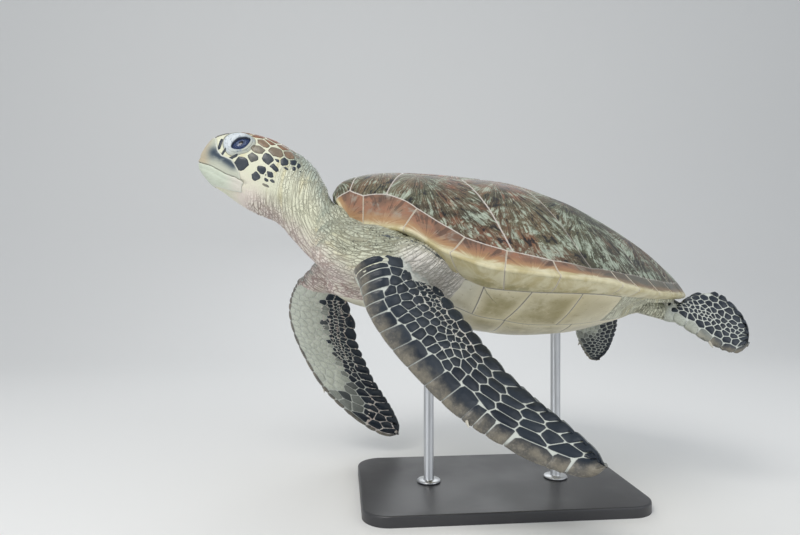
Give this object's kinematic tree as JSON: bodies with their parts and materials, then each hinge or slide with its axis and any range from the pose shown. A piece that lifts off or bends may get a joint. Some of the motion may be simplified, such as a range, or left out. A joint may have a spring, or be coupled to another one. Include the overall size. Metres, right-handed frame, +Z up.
{
  "type": "green sea turtle",
  "caption": "Life-size green sea turtle swimming nose-up with both front flippers swept down, its scuted shell and beaked head held on a flat base by two short rods.",
  "frame": {"origin": "centre of the stand base's underside, on the floor", "axes": "+Z up, -X the way the turtle swims, -Y its left side"},
  "size_m": [0.9307, 0.588, 0.6344],
  "materials": {
    "carapace_scute": "smooth wet keratin, mottled",
    "marginal_scute": "smooth keratin, brown to cream",
    "plastron_scute": "smooth cream keratin",
    "skin": "wrinkled hide",
    "head_skin": "scaled hide",
    "beak": "horn",
    "flipper_scale": "scaled hide",
    "claw_horn": "pale horn",
    "eye": "wet gloss",
    "stand_paint": "satin black",
    "stand_steel": "brushed"
  },
  "bodies": {
    "root": {"bridge_left": "plastron_scute", "bridge_right": "plastron_scute", "claw_front_left": "claw_horn", "claw_front_right": "claw_horn", "claw_rear_left": "claw_horn", "claw_rear_right": "claw_horn", "costal_left_1": "carapace_scute", "costal_left_2": "carapace_scute", "costal_left_3": "carapace_scute", "costal_left_4": "carapace_scute", "costal_right_1": "carapace_scute", "costal_right_2": "carapace_scute", "costal_right_3": "carapace_scute", "costal_right_4": "carapace_scute", "eye_left": "eye", "eye_right": "eye", "flipper_front_left": "flipper_scale", "flipper_front_right": "flipper_scale", "flipper_rear_left": "flipper_scale", "flipper_rear_right": "flipper_scale", "head": "head_skin", "lower_jaw": "beak", "marginals_left_bridge": "marginal_scute", "marginals_left_front": "marginal_scute", "marginals_left_rear": "marginal_scute", "marginals_right_bridge": "marginal_scute", "marginals_right_front": "marginal_scute", "marginals_right_rear": "marginal_scute", "neck": "skin", "nuchal": "carapace_scute", "plastron_abdominal": "plastron_scute", "plastron_anal": "plastron_scute", "plastron_femoral": "plastron_scute", "plastron_gular": "plastron_scute", "plastron_humeral": "plastron_scute", "plastron_pectoral": "plastron_scute", "stand_base": "stand_paint", "stand_rod_front": "stand_steel", "stand_rod_rear": "stand_steel", "tail": "skin", "thigh_left": "skin", "thigh_right": "skin", "trunk": "skin", "upper_arm_left": "skin", "upper_arm_right": "skin", "vertebral_1": "carapace_scute", "vertebral_2": "carapace_scute", "vertebral_3": "carapace_scute", "vertebral_4": "carapace_scute", "vertebral_5": "carapace_scute"}
  },
  "joints": []
}
